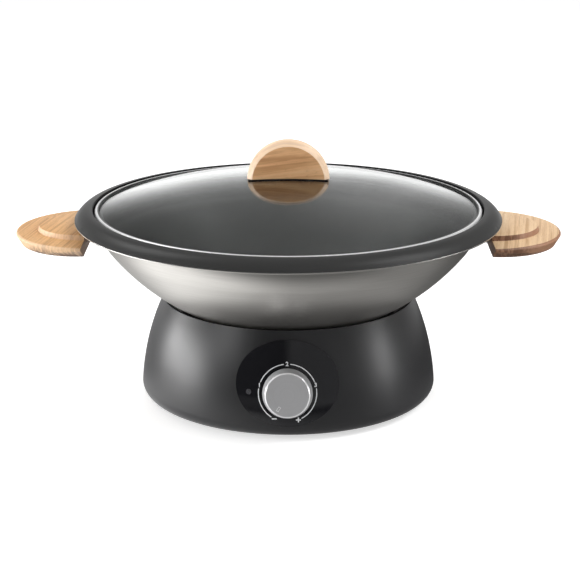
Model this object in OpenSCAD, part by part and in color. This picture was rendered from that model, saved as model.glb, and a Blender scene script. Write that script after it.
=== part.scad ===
// Electric wok: a heated base with a dial, a lift-off bowl with wooden handles and a glass lid.
// Millimetres. The origin is the centre of the base on the table, +Z is up, the dial faces -Y.

/* [Base housing] */
// Radius that the flank's arc would have at table level
belly_r = 126.8; // [120:0.2:135]
// Radius of the arc that the flank follows in side view
flank_arc_r = 205; // [180:1:260]
// Height of the housing's top edge above the table
base_h = 88; // [84:1:100]
// Height of the housing's bottom edge above the table
foot_gap = 3; // [2:0.5:5]
// Rounding between the flank and the underside
bottom_round = 10; // [6:0.5:14]
// Wall thickness of the housing
shell_wall = 3; // [2:0.5:4]
// Width of the sloping face round the top opening
top_face_w = 4; // [2:0.5:6]
// Drop of that face towards the opening
top_face_drop = 1.5; // [0.5:0.5:3]
// Depth of the seat for the dish below the top edge
seat_depth = 8.5; // [7:0.5:12]
// Width of the ledge that carries the dish
seat_w = 7; // [5:0.5:9]
// Thickness of that ledge
seat_t = 2.5; // [2:0.5:4]
// Thickness of the base plate
plate_t = 2.5; // [1.5:0.5:4]
// Width of the turned-in rim round the base plate
plate_rim_w = 8.5; // [6:0.5:12]
// Radius of a rubber foot
foot_r = 8; // [6:0.5:11]
// Distance of the feet from the centre
foot_at_r = 88; // [60:1:92]

/* [Controls] */
// Height of the dial's centre on the flank
dial_z = 40.5; // [34:0.5:44]
// Width of the glossy fascia
fascia_w = 83; // [72:1:90]
// Height of the fascia
fascia_h = 70; // [62:1:72]
// Radius of the fascia's left and right ends
fascia_end_r = 32.5; // [28:0.5:34]
// Thickness of the fascia
fascia_t = 1; // [0.6:0.2:1.6]
// Height of the fascia's centre on the flank
fascia_z = 48; // [44:0.5:50]
// Radius of the knob at the fascia
knob_r = 20.2; // [18:0.2:22]
// Radius of the knob's flat face
knob_face_r = 17.2; // [15:0.2:19]
// Height of the knob
knob_h = 12; // [10:0.5:16]
// Radius of the thermostat's shaft
shaft_r = 3; // [2:0.25:3.5]
// Radius of the indicator lens
lens_r = 2.2; // [1.5:0.1:3]
// Distance of the lens from the dial's centre
lens_at_x = 31; // [29:0.5:33]

/* [Heating] */
// Radius of the heating tube
tube_r = 3.5; // [2.5:0.25:4]
// Centre line radius of the outer heating ring
ring_outer_r = 52; // [48:1:56]
// Centre line radius of the inner heating ring
ring_inner_r = 34; // [28:1:38]
// Angle that the heating rings go round
ring_sweep = 300; // [270:5:305]
// Bend radius of the heating tube's ends
leg_bend_r = 8; // [6:0.5:10]
// Gap between the heating tube and the bowl's base disc
element_gap = 0.5; // [0.3:0.1:1.5]
// Sheet thickness of the reflector dish
dish_t = 1; // [0.6:0.1:1.5]
// Radius of the dish's flat floor
dish_floor_r = 70; // [64:1:74]
// Depth of the dish's floor below the heating tube's centre
dish_drop = 11; // [9:0.5:13]

/* [Bowl] */
// Outside radius of the bowl's spherical wall
bowl_r = 194; // [190:1:198]
// Radius of the bowl's flat underside
bowl_flat_r = 68; // [65:0.5:71]
// Gap between the bowl's wall and the edge of the housing's opening
bowl_gap = 1.75; // [1.25:0.25:3]
// Sheet thickness of the bowl
bowl_t = 2; // [1.5:0.1:2.4]
// Outside radius of the tighter curve under the rim
shoulder_r = 39; // [34:1:42]
// Height of the ledge that the lid rests on above the bowl's underside
bowl_depth = 86; // [78:1:96]
// Width of the ledge outside the bowl's wall
ledge_w = 4.05; // [3.5:0.05:5]
// Width of the rim outside the ledge
rim_w = 15; // [13:0.5:20]
// Drop of the rim from its inner ridge to its outer edge
rim_fall = 8.5; // [6:0.5:10]
// Radius of the spreader disc under the bowl
disc_r = 64; // [60:0.5:66]
// Thickness of the spreader disc
disc_t = 5; // [4:0.5:6]

/* [Handles] */
// Distance that a handle's straight inner edge lies inside the rim's edge
handle_tuck = 11; // [9:0.5:12]
// Length of a handle from that edge to its tip
handle_l = 62; // [57:0.5:68]
// Radius of a handle's lower plate at its upper edge
handle_r = 68.5; // [64:0.5:72]
// Radius of the lower plate's underside
handle_foot_r = 48.5; // [44:0.5:52]
// Distance that the underside's tip lies inside the upper edge's tip
handle_lean = 6.5; // [4:0.5:9]
// Depth of a handle's underside below the ledge
handle_drop = 24; // [22:0.5:26]
// Thickness of a handle's lower plate
handle_t = 12; // [10:0.5:13]
// Rounding of the lower plate's upper edge
handle_round = 2; // [1:0.5:4]
// Radius of a handle's upper step
step_r = 40; // [36:0.5:42]
// Distance from a handle's inner edge to the upper step's centre
step_in = 2.5; // [2:0.5:8]
// Height of the upper step
step_h = 4; // [3:0.5:5]
// Width of the upper step's sloping edge
step_slope = 1.25; // [0.5:0.25:2.5]
// Thickness of a handle bracket
bracket_t = 3; // [2:0.5:4]
// Width of a handle bracket's tongue
tongue_w = 40; // [34:1:50]
// Length of the tongue inside the handle
tongue_in = 31; // [26:1:36]
// Radius of a handle screw's shank
handle_screw_r = 2; // [1.5:0.25:2.5]

/* [Lid] */
// Gap between the lid's band and the wall of the recess
lid_play = 1.8; // [1.2:0.1:2.4]
// Depth of the band's top below the rim's ridge
lid_sunk = 0.5; // [0:0.25:1]
// Radius of the glass dome's upper face
dome_r = 515; // [480:5:560]
// Depth of the glass below the band's top where it meets the lip
glass_sunk = 1.6; // [1.2:0.1:2]
// Thickness of the glass
glass_t = 4; // [3:0.5:4]
// Width of the band's visible lip
lip_w = 3.2; // [2.6:0.2:4]
// Sheet thickness of the band
band_t = 0.8; // [0.6:0.1:1]
// Radius of the wooden lid knob
grip_r = 34.8; // [32:0.2:38]
// Radius of the lid knob's flat front and back
grip_face_r = 30.5; // [28:0.5:31]
// Thickness of the lid knob
grip_t = 16; // [14:0.5:20]
// Width of the lid knob's outer edge
grip_edge_w = 7; // [5:0.5:10]
// Height of the lid knob's centre below the dome's top
grip_sunk = 2.2; // [2:0.2:6]
// Thickness of the pad between the lid knob and the glass
pad_t = 0.8; // [0.6:0.1:2]
// Half the distance between the lid knob's screws
grip_screw_x = 14; // [12:0.5:16]
// Radius of a lid screw's shank
grip_screw_r = 2; // [1.5:0.25:2.5]

/* [Clearances] */
// Gap between curved faces of pieces that seat on each other
seat_gap = 0.1; // [0.05:0.05:0.2]
// Gap between pieces that lift apart
lift_gap = 0.3; // [0.2:0.05:0.5]
// Radial gap between the shaft and its bush
run_gap = 0.05; // [0.02:0.01:0.1]
// Radial gap of screws and pins in their holes
hole_gap = 0.1; // [0.05:0.05:0.2]
// Gap between the base plate and the housing
plate_gap = 0.4; // [0.2:0.1:0.8]

/* [Hidden] */
$fn = 96;
far = 400;
eps = 0.01;
// Fine steps for the two large spheres, where coarse ones would show as flats
sphere_fn = 256;
// A tighter arc stands this far proud where it leaves a wider one, and starts this many degrees early
blend = 0.02;
blend_a = 2.4;
// The same angle for roundings of 1 to 2 mm
nib_a = 15;

// Places on the housing's flank: its arc's centre lies on the table's level
flank_cx = belly_r - flank_arc_r;
low_a = asin((foot_gap + bottom_round) / (flank_arc_r - bottom_round));
low_c = [flank_cx + (flank_arc_r - bottom_round) * cos(low_a) + blend, foot_gap + bottom_round];
function wall_a(z) = asin(z / flank_arc_r);
function wall_r(z) = flank_cx + flank_arc_r * cos(wall_a(z));

// Seat of the dish inside the housing's top edge
opening_r = wall_r(base_h) - top_face_w;
seat_z = base_h - seat_depth;
ledge_in_r = opening_r - seat_w;
plate_hole_r = low_c.x - plate_rim_w;
plate_r = plate_hole_r - plate_gap;
plate_top = foot_gap + plate_t;
base_screw_at_r = 98;
base_screw_angles = [20, 160, 200, 340];
base_screw_r = 1.6;
base_boss_r = 4.5;
base_boss_top = 24;
base_head_h = 1.4;
rib_t = 2.5;
foot_angles = [45, 135, 225, 315];
foot_stem_r = 3;
foot_button_r = 4.2;
foot_button_h = 1.5;
foot_round = 1.2;
vent_count = 12;
vent_in_r = 34;
vent_out_r = 62;
vent_w = 4;

// Ring and pads that carry the bowl
ring_t = 1;
ring_z = seat_z + dish_t;
ring_out_r = opening_r - lift_gap;
ring_in_r = ledge_in_r + 0.5;
ring_mid_r = (ring_out_r + ring_in_r) / 2;
ring_screw_angles = [60, 120, 240, 300];
ring_screw_r = 1.4;
ring_head_r = 2.6;
ring_head_h = 1.4;
ring_boss_r = 3.4;
ring_boss_h = 12;
pad_angles = [27, 153, 207, 333];
pad_l = 12;
pad_w = 5;

// Bowl: its wall follows a large sphere, which clears the edge of the housing's opening
bowl_c = [0, base_h - top_face_drop + bowl_gap + sqrt(pow(bowl_r, 2) - pow(opening_r, 2))];
bowl_z = bowl_c.y - sqrt(pow(bowl_r, 2) - pow(bowl_flat_r, 2));
ledge_z = bowl_z + bowl_depth;

// Heating
el_z = bowl_z - disc_t - element_gap - tube_r;
ring_mean_r = (ring_outer_r + ring_inner_r) / 2;
leg_a = 90 + (360 - ring_sweep) / 2;
leg_len = 18;
tube_swell = 0.1;
tube_lap = 0.8;
leg_end_z = el_z - leg_bend_r - leg_len;
dish_z = el_z - dish_drop;
dish_cone_r = ledge_in_r - 3;
leg_hole_r = tube_r + 1.6;
bush_flange_r = leg_hole_r + 2;
bush_flange_t = 2.4;
bush_rise = 1.2;
support_angles = [180, 270, 0];
support_w = 8;
support_end = 5;
support_cover = 2;
support_hole_r = 2.2;
blade_w = 6.3;
blade_t = 0.8;
blade_h = 9;
pin_r = 1.2;
pin_h = 3;
bulb_r = 3;
bulb_l = 46;
bulb_x = 12;
bulb_z = dish_z + dish_t + bulb_r + seat_gap;
capillary_r = 0.9;
capillary_lap = 0.4;
clip_t = 1;
clip_w = 8;
clip_foot = 6;
fuse_r = 2.4;
fuse_l = 14;
fuse_at = [40, -18];

// Controls
dial_a = wall_a(dial_z);
lens_a = asin(lens_at_x / wall_r(dial_z));
lens_proud = 0.4;
lens_flange_r = lens_r + 1.4;
lens_flange_t = 1.2;
lamp_l = 12;
thermostat_w = 30;
thermostat_h = 24;
thermostat_d = 17;
thermostat_step = 2.2;
thermostat_back = shell_wall + thermostat_step;
thread_r = 5;
nut_r = 7.5;
nut_h = 2.5;
thread_l = fascia_t + nut_h + 0.7;
knob_z = fascia_t + 0.6;
knob_wall = 2.2;
knob_chamfer = 0.9;
hub_r = 5.6;
shaft_flat = 0.75;
shaft_in = 12;
pointer_at_r = 13;
pointer_a = -123;
pointer_l = 4.2;
pointer_w = 2.2;
pointer_line = 0.5;
pointer_d = 0.35;

// Inlet of the mains cord at the rear
gland_z = 22;
gland_r = 6.5;
gland_bore_r = 3.6;
gland_flange_r = 9;
gland_flange_t = 2.2;
gland_out = 5;
gland_in = 7;
block_at = [0, 76];
block_size = [34, 18, 14];
block_poles = [-10, 0, 10];
block_bore_r = 1.9;
block_screw_r = 2.3;

// Bowl: above the large sphere a tighter arc leads up to the ledge
shoulder_k = shoulder_r / bowl_r;
shoulder_z = (ledge_z - bowl_c.y * shoulder_k) / (1 - shoulder_k);
shoulder_at_r = sqrt(pow(bowl_r, 2) - pow(bowl_c.y - shoulder_z, 2));
shoulder_a = atan2(shoulder_z - bowl_c.y, shoulder_at_r);
shoulder_c = bowl_c + (bowl_r - shoulder_r + blend) * dir(shoulder_a);
function bowl_in_r(z) = sqrt(pow(bowl_r - bowl_t, 2) - pow(bowl_c.y - z, 2));
floor_join_r = (bowl_flat_r + bowl_in_r(bowl_z + bowl_t)) / 2;
wall_top_r = shoulder_c.x + shoulder_r;
recess_r = wall_top_r + ledge_w;
rim_r = recess_r + rim_w;

// Lid: the band's foot stands over the ledge, and the glass lies on the band's inner leg
lid_r = recess_r - lid_play;
band_foot_z = ledge_z + lift_gap;
under_r = dome_r - glass_t - seat_gap;
dome_c = band_foot_z - sqrt(pow(under_r - band_t, 2) - pow(lid_r - band_t / 2, 2));
function dome_z(r, d) = dome_c + sqrt(pow(dome_r - d, 2) - pow(r, 2));
dome_top = dome_c + dome_r;
band_top = dome_z(lid_r - lip_w, 0) + glass_sunk;
band_round = 1.5;
band_leg_w = 7;
glass_r = lid_r - band_t - lift_gap;
grip_z = dome_top - grip_sunk;
grip_foot_w = grip_t - 1;
washer_r = 6.5;
washer_t = 1.3;
washer_z = dome_z(grip_screw_x + washer_r, glass_t) - seat_gap - washer_t;
grip_head_r = 4;
grip_head_h = 2.2;
grip_screw_up = 16;

// Rim: an arc from the ridge beside the lid out to the bead
rim_top_z = band_top + lid_sunk;
ridge_r = bowl_t / 2;
rim_run = rim_w - ridge_r;
rim_arc_r = (pow(rim_run, 2) + pow(rim_fall, 2)) / (2 * rim_fall);
rim_c = [recess_r + ridge_r, rim_top_z - rim_arc_r];
rim_end_a = atan2(rim_arc_r - rim_fall, rim_run);
rim_bead_r = bowl_t / 2 + 0.2;
disc_edge = 1;

// Handles and their brackets
handle_x = rim_r - handle_tuck;
handle_c = handle_x + handle_l - handle_r;
handle_foot_c = handle_x + handle_l - handle_lean - handle_foot_r;
handle_side_h = handle_t - handle_round;
handle_flare = (handle_r - handle_foot_r) / handle_side_h;
handle_tip_in = 0.8;
handle_z = ledge_z - handle_drop;
step_x = handle_x + step_in;
tongue_up = 5;
tongue_z = handle_z + tongue_up;
tongue_root = 10;
tongue_end_x = handle_x + tongue_in;
bracket_half_a = 11;
bracket_low_a = -27;
bracket_high_a = -8;
handle_screw_in = 15;
handle_screw_y = 12;
handle_head_r = 4;
handle_head_h = 2.4;
handle_screw_up = 3;

// Internal leads, as rounded routes from joint to joint
lead_r = 1.3;
lead_start = 8;
lead_dip = 6;
lead_slack = 4;
lead_side_rear = [-66, 34, 30];
lead_side_front = [-66, -40, 30];
lead_cross = [10, 16];

// ---- Shared shapes ----

function dir(a) = [cos(a), sin(a)];

// Slice of a disc about the origin, from angle a0 up to a1, less than half a turn
module pie(r, a0, a1) {
    intersection() {
        circle(r);
        polygon([[0, 0], 2 * r * dir(a0), 2 * r * dir((a0 + a1) / 2), 2 * r * dir(a1)]);
    }
}

// Bent strip of thickness t whose outer side has radius r
module arc_strip(r, t, a0, a1) {
    difference() {
        pie(r, a0, a1);
        circle(r - t);
    }
}

module ring(r_out, r_in, h) {
    difference() {
        cylinder(r = r_out, h = h);
        translate([0, 0, -h]) cylinder(r = r_in, h = 3 * h);
    }
}

// Copies of the children at radius r on the given angles, turned with the angle
module around(angles, r = 0) {
    for (a = angles) rotate([0, 0, a]) translate([r, 0, 0]) children();
}

// The housing's half outline up to the height top, drawn in by inset
module flank_outline(inset, top) {
    intersection() {
        translate([flank_cx, 0]) circle(flank_arc_r - inset);
        polygon([low_c, low_c + far * dir(low_a), [low_c.x + far, top], [0, top], [0, low_c.y]]);
    }
    translate(low_c) pie(bottom_round - inset, -90, low_a + nib_a);
    translate([0, foot_gap + inset]) square([low_c.x, bottom_round - inset]);
}

// Sheet that follows the flank, from depth d0 to the smaller depth d1 below its outer face
module flank_sheet(d0, d1) {
    rotate_extrude() difference() {
        flank_outline(d1, base_h);
        flank_outline(d0, base_h + far);
    }
}

// Places the children on the flank: their +Z points out of the wall, their +Y up along it
module on_flank(a, z) {
    rotate([0, 0, a]) translate([0, -wall_r(z), z]) rotate([90 - wall_a(z), 0, 0]) children();
}

// Places the children at the cord's inlet, their +Z level and out of the rear wall
module at_inlet() {
    translate([0, wall_r(gland_z), gland_z]) rotate([-90, 0, 0]) children();
}

// ---- Base housing ----

module base_boss() {
    difference() {
        union() {
            translate([0, 0, plate_top]) cylinder(r = base_boss_r, h = base_boss_top - plate_top);
            translate([base_boss_r - 1, -rib_t / 2, plate_top + shell_wall])
                cube([wall_r(base_boss_top) - shell_wall - base_screw_at_r - base_boss_r + 2, rib_t,
                      base_boss_top - plate_top - shell_wall]);
        }
        translate([0, 0, foot_gap]) cylinder(r = base_screw_r + hole_gap, h = base_boss_top - 2 * foot_gap);
    }
}

module ring_boss() {
    translate([0, 0, seat_z - seat_t - ring_boss_h]) difference() {
        cylinder(r = ring_boss_r, h = ring_boss_h + seat_t / 2);
        translate([0, 0, -eps]) cylinder(r = ring_screw_r + hole_gap, h = far);
    }
}

module shell_outline() {
    difference() {
        flank_outline(0, base_h);
        flank_outline(shell_wall, seat_z - seat_t);
        translate([0, seat_z]) square([opening_r, far]);
        square([ledge_in_r, far]);
        square([plate_hole_r, foot_gap + 2 * shell_wall]);
        polygon([[opening_r - 1, base_h - top_face_drop], [opening_r, base_h - top_face_drop],
                 [wall_r(base_h), base_h], [wall_r(base_h), base_h + 1], [opening_r - 1, base_h + 1]]);
    }
}

module base_shell() {
    color("#26272a") {
        difference() {
            rotate_extrude() shell_outline();
            around(ring_screw_angles, ring_mid_r)
                translate([0, 0, seat_z - 2 * seat_t]) cylinder(r = ring_screw_r + hole_gap, h = 4 * seat_t);
            on_flank(0, dial_z) cylinder(r = thread_r + hole_gap, h = 4 * shell_wall, center = true);
            on_flank(-lens_a, dial_z) cylinder(r = lens_r + hole_gap, h = 4 * shell_wall, center = true);
            at_inlet() cylinder(r = gland_r + hole_gap, h = 6 * shell_wall, center = true);
        }
        around(base_screw_angles, base_screw_at_r) base_boss();
        around(ring_screw_angles, ring_mid_r) ring_boss();
    }
}

module vent_slots() {
    around([for (i = [0 : vent_count - 1]) i * 360 / vent_count]) {
        translate([vent_in_r, -vent_w / 2, foot_gap - 1]) cube([vent_out_r - vent_in_r, vent_w, plate_t + 2]);
        for (r = [vent_in_r, vent_out_r])
            translate([r, 0, foot_gap - 1]) cylinder(r = vent_w / 2 + eps, h = plate_t + 2);
    }
}

module base_plate() {
    color("#1e1f21") difference() {
        translate([0, 0, foot_gap]) cylinder(r = plate_r, h = plate_t);
        vent_slots();
        around(base_screw_angles, base_screw_at_r) {
            cylinder(r = base_screw_r + hole_gap, h = 2 * plate_top);
            cylinder(r = 2 * base_screw_r + hole_gap, h = foot_gap + base_head_h);
        }
        around(foot_angles, foot_at_r) cylinder(r = foot_stem_r + hole_gap, h = 2 * plate_top);
    }
}

module rubber_foot() {
    cylinder(r = foot_r - foot_round, h = foot_gap);
    rotate_extrude() {
        translate([foot_r - foot_round, foot_round]) pie(foot_round, -90, 0);
        translate([0, foot_round]) square([foot_r, foot_gap - foot_round]);
    }
    cylinder(r = foot_stem_r, h = plate_top + foot_button_h);
    translate([0, 0, plate_top]) cylinder(r1 = foot_button_r, r2 = foot_stem_r, h = foot_button_h);
}

module rubber_feet() {
    color("#151515") around(foot_angles, foot_at_r) rubber_foot();
}

// Screw with a flat head: its head's top is at z = 0 and its shank points up
module screw(head_r, head_h, shank_r, shank_l) {
    difference() {
        union() {
            cylinder(r = head_r, h = head_h);
            cylinder(r = shank_r, h = head_h + shank_l);
        }
        for (a = [0, 90]) rotate([0, 0, a])
            translate([-head_r / 2, -head_r / 8, -eps]) cube([head_r, head_r / 4, head_h / 2]);
    }
}

module base_screws() {
    color("#b9bbbe") around(base_screw_angles, base_screw_at_r)
        translate([0, 0, foot_gap]) screw(2 * base_screw_r, base_head_h, base_screw_r, base_boss_top - 4 * foot_gap);
}

// ---- Controls ----

// Oval of four tangent arcs: two of end_r left and right, two wider ones above and below
module oval(w, h, end_r) {
    end_x = w / 2 - end_r;
    side_r = (pow(end_x, 2) + pow(h / 2, 2) - pow(end_r, 2)) / (h - 2 * end_r);
    side_y = side_r - h / 2;
    a = atan2(side_y, end_x);
    for (turn = [0, 180]) rotate(turn) {
        translate([end_x, 0]) pie(end_r + blend, -a - nib_a, a + nib_a);
        translate([0, -side_y]) pie(side_r, a, 180 - a);
    }
}

module fascia_panel() {
    color("#0c0d0f") difference() {
        intersection() {
            flank_sheet(-seat_gap, -seat_gap - fascia_t);
            on_flank(0, fascia_z) linear_extrude(height = 8 * shell_wall, center = true)
                oval(fascia_w, fascia_h, fascia_end_r);
        }
        on_flank(0, dial_z) cylinder(r = thread_r + hole_gap, h = 4 * shell_wall, center = true);
        on_flank(-lens_a, dial_z) cylinder(r = lens_r + hole_gap, h = 4 * shell_wall, center = true);
    }
}

module indicator_lens() {
    color("#3a3b3e") on_flank(-lens_a, dial_z) {
        translate([0, 0, -shell_wall - lens_flange_t])
            cylinder(r = lens_r, h = shell_wall + lens_flange_t + fascia_t + lens_proud);
        translate([0, 0, -shell_wall - lens_flange_t - seat_gap]) cylinder(r = lens_flange_r, h = lens_flange_t);
    }
}

module indicator_lamp() {
    color("#d8643a") on_flank(-lens_a, dial_z)
        translate([0, 0, -shell_wall - lens_flange_t - seat_gap - lamp_l]) {
            cylinder(r = lens_flange_r, h = lamp_l);
            for (x = [-1, 1]) translate([x * lens_flange_r / 2, 0, -pin_h]) cylinder(r = pin_r / 2, h = 2 * pin_h);
        }
}

module thermostat_body() {
    color("#b7b29f") on_flank(0, dial_z) difference() {
        union() {
            translate([-thermostat_w / 2, -thermostat_h / 2, -thermostat_back - thermostat_d])
                cube([thermostat_w, thermostat_h, thermostat_d]);
            translate([0, 0, -thermostat_back - eps]) cylinder(r = thread_r + 2, h = thermostat_step - lift_gap);
            translate([0, 0, -thermostat_back - eps])
                cylinder(r = thread_r, h = thermostat_back + seat_gap + thread_l);
            for (x = [-1, 1]) translate([x * thermostat_w / 4 - blade_w / 2, -thermostat_h / 4,
                                         -thermostat_back - thermostat_d - blade_h])
                cube([blade_w, blade_t, blade_h + 1]);
        }
        translate([0, 0, -shaft_in - shell_wall]) cylinder(r = shaft_r + run_gap, h = far);
    }
}

module thermostat_nut() {
    color("#c9a14a") on_flank(0, dial_z) translate([0, 0, fascia_t + 2 * seat_gap]) difference() {
        cylinder(r = nut_r, h = nut_h, $fn = 6);
        translate([0, 0, -nut_h]) cylinder(r = thread_r + seat_gap / 2, h = 3 * nut_h);
    }
}

// Shaft section with one flat side, as wide as r allows
module d_rod(r, flat, h) {
    difference() {
        cylinder(r = r, h = h);
        translate([-2 * r, flat * r, -h]) cube([4 * r, 2 * r, 3 * h]);
    }
}

module knob_shaft() {
    color("#c7c9cc") on_flank(0, dial_z) {
        translate([0, 0, -shaft_in - shell_wall + run_gap])
            cylinder(r = shaft_r, h = shaft_in + shell_wall + thread_l);
        translate([0, 0, thread_l]) d_rod(shaft_r, shaft_flat, knob_z + knob_h - knob_wall - thread_l);
    }
}

module knob_outline() {
    polygon([[0, 0], [knob_r, 0], [knob_r, 1], [knob_face_r + knob_chamfer, knob_h - knob_chamfer],
             [knob_face_r, knob_h], [0, knob_h]]);
}

module pointer_mark() {
    rotate([0, 0, pointer_a]) translate([pointer_at_r, 0, knob_h - pointer_d]) difference() {
        translate([-pointer_l / 2, -pointer_w / 2, 0]) cube([pointer_l, pointer_w, 2 * pointer_d]);
        translate([-pointer_l / 2 + pointer_line, -pointer_w / 2 + pointer_line, -pointer_d])
            cube([pointer_l - 2 * pointer_line, pointer_w - 2 * pointer_line, 4 * pointer_d]);
    }
}

module control_knob() {
    color("#a9abae") on_flank(0, dial_z) translate([0, 0, knob_z]) difference() {
        rotate_extrude() knob_outline();
        difference() {
            translate([0, 0, -eps]) cylinder(r = knob_face_r - knob_wall, h = knob_h - knob_wall);
            cylinder(r = hub_r, h = knob_h);
        }
        // The hub starts above the thermostat's thread
        translate([0, 0, -eps]) cylinder(r = hub_r + 1, h = thread_l - knob_z + lift_gap);
        translate([0, 0, -eps]) d_rod(shaft_r + run_gap, shaft_flat, knob_h - knob_wall + run_gap);
        pointer_mark();
    }
}

// ---- Heating ----

// Quarter turn from a ring's end down into its leg. Bends are a little stouter than the tube.
module heating_tube_end(r) {
    translate([r, 0, -leg_bend_r]) rotate([0, -90, 180])
        rotate_extrude(angle = 90) translate([leg_bend_r, 0]) circle(tube_r + tube_swell);
    translate([r, -leg_bend_r, -leg_bend_r - leg_len]) cylinder(r = tube_r, h = leg_len + tube_lap);
}

module heating_ring(r) {
    lap_a = tube_lap / r * 180 / PI;
    rotate([0, 0, -lap_a]) rotate_extrude(angle = ring_sweep + 2 * lap_a) translate([r, 0]) circle(tube_r);
}

module heating_element() {
    color("#5b564f") translate([0, 0, el_z]) rotate([0, 0, leg_a]) {
        for (r = [ring_outer_r, ring_inner_r]) {
            heating_ring(r);
            heating_tube_end(r);
        }
        // Hairpin that joins the two rings
        rotate([0, 0, ring_sweep]) translate([ring_mean_r, 0, 0]) rotate_extrude(angle = 180)
            translate([(ring_outer_r - ring_inner_r) / 2, 0]) circle(tube_r + tube_swell);
    }
}

// Places the children on the axis of each end of the heating tube, at z = 0
module at_tube_ends() {
    rotate([0, 0, leg_a]) for (r = [ring_outer_r, ring_inner_r]) translate([r, -leg_bend_r, 0]) children();
}

module element_support() {
    low = dish_z + dish_t;
    difference() {
        translate([ring_inner_r - tube_r - support_end, -support_w / 2, low])
            cube([ring_outer_r - ring_inner_r + 2 * (tube_r + support_end), support_w, el_z - support_cover - low]);
        translate([ring_mean_r, 0, low - 1])
            cylinder(r = support_hole_r, h = el_z);
    }
}

module element_supports() {
    color("#d9d6cc") difference() {
        around(support_angles) element_support();
        translate([0, 0, el_z]) rotate_extrude()
            for (r = [ring_outer_r, ring_inner_r]) translate([r, 0]) circle(tube_r + seat_gap);
    }
}

module element_bushes() {
    color("#e6e2d6") at_tube_ends() difference() {
        union() {
            translate([0, 0, dish_z - bush_flange_t]) cylinder(r = bush_flange_r, h = bush_flange_t);
            translate([0, 0, dish_z - bush_flange_t])
                cylinder(r = leg_hole_r - hole_gap, h = bush_flange_t + dish_t + bush_rise);
        }
        cylinder(r = tube_r + hole_gap, h = far);
    }
}

module element_terminals() {
    color("#c0b58c") at_tube_ends() translate([0, 0, leg_end_z]) {
        translate([0, 0, -pin_h]) cylinder(r = pin_r, h = pin_h);
        translate([-blade_w / 2, -blade_t / 2, -pin_h - blade_h]) cube([blade_w, blade_t, blade_h]);
    }
}

module dish_outline() {
    polygon([[0, dish_z], [dish_floor_r, dish_z], [dish_cone_r, seat_z], [ring_out_r, seat_z],
             [ring_out_r, seat_z + dish_t], [dish_cone_r - dish_t / 2, seat_z + dish_t],
             [dish_floor_r - dish_t, dish_z + dish_t], [0, dish_z + dish_t]]);
}

module reflector_dish() {
    color("#c9cacc") difference() {
        rotate_extrude() dish_outline();
        at_tube_ends() cylinder(r = leg_hole_r, h = el_z);
        around(ring_screw_angles, ring_mid_r) cylinder(r = ring_screw_r + hole_gap, h = base_h);
        translate([bulb_x, -bulb_l / 2 - 2 * bulb_r, 0]) cylinder(r = capillary_r + hole_gap, h = el_z);
    }
}

module support_ring() {
    color("#8d8f92") difference() {
        translate([0, 0, ring_z]) ring(ring_out_r, ring_in_r, ring_t);
        around(ring_screw_angles, ring_mid_r) cylinder(r = ring_screw_r + hole_gap, h = base_h);
    }
}

module ring_screws() {
    color("#b9bbbe") around(ring_screw_angles, ring_mid_r)
        translate([0, 0, ring_z + ring_t + ring_head_h]) mirror([0, 0, 1])
            screw(ring_head_r, ring_head_h, ring_screw_r, ring_t + dish_t + seat_t + ring_boss_h / 2);
}

module support_pads() {
    color("#4a4b4d") difference() {
        around(pad_angles, ring_mid_r)
            translate([-pad_w / 2, -pad_l / 2, ring_z + ring_t]) cube([pad_w, pad_l, base_h - ring_z]);
        translate([0, 0, bowl_c.y]) sphere(bowl_r + lift_gap, $fn = sphere_fn);
    }
}

module sensor_bulb() {
    color("#b87a4b") {
        translate([bulb_x, bulb_l / 2, bulb_z]) rotate([90, 0, 0]) cylinder(r = bulb_r, h = bulb_l);
        // Capillary: out of the bulb's end, then down through the dish's floor
        translate([bulb_x, -bulb_l / 2 + bulb_r, bulb_z]) rotate([90, 0, 0])
            cylinder(r = capillary_r, h = 2 * bulb_r + capillary_lap);
        translate([bulb_x, -bulb_l / 2 - bulb_r, bulb_z - bulb_r]) rotate([90, 0, -90])
            rotate_extrude(angle = 90) translate([bulb_r, 0]) circle(capillary_r + tube_swell);
        translate([bulb_x, -bulb_l / 2 - 2 * bulb_r, dish_z - bulb_r])
            cylinder(r = capillary_r, h = bulb_z - dish_z + capillary_lap);
    }
}

module sensor_clip() {
    clip_r = bulb_r + seat_gap;
    color("#c3c5c8") for (y = [-1, 1]) translate([bulb_x, y * bulb_l / 4 + clip_w / 2, 0]) rotate([90, 0, 0])
        linear_extrude(height = clip_w) {
            translate([0, bulb_z]) for (a = [0, 90]) arc_strip(clip_r + clip_t, clip_t, a, a + 90);
            for (x = [-clip_r - clip_t, clip_r]) translate([x, dish_z + dish_t])
                square([clip_t, bulb_z - dish_z - dish_t]);
            for (x = [-clip_r - clip_t - clip_foot, clip_r + clip_t]) translate([x, dish_z + dish_t])
                square([clip_foot, clip_t]);
        }
}

module thermal_fuse() {
    color("#d9d9d4") translate([fuse_at.x, fuse_at.y, dish_z - fuse_r - seat_gap]) rotate([90, 0, 0]) {
        cylinder(r = fuse_r, h = fuse_l, center = true);
        cylinder(r = blade_t / 2, h = fuse_l + 2 * blade_h, center = true);
    }
}

module fuse_clip() {
    clip_r = fuse_r + seat_gap;
    color("#c3c5c8") translate([fuse_at.x, fuse_at.y, dish_z - clip_r]) rotate([90, 0, 0])
        linear_extrude(height = clip_w, center = true) {
            for (a = [180, 270]) arc_strip(clip_r + clip_t, clip_t, a, a + 90);
            for (x = [-clip_r - clip_t, clip_r]) translate([x, 0]) square([clip_t, clip_r]);
            for (x = [-clip_r - clip_t - clip_foot, clip_r + clip_t]) translate([x, clip_r - clip_t])
                square([clip_foot, clip_t]);
        }
}

// ---- Inlet and wiring ----

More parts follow.
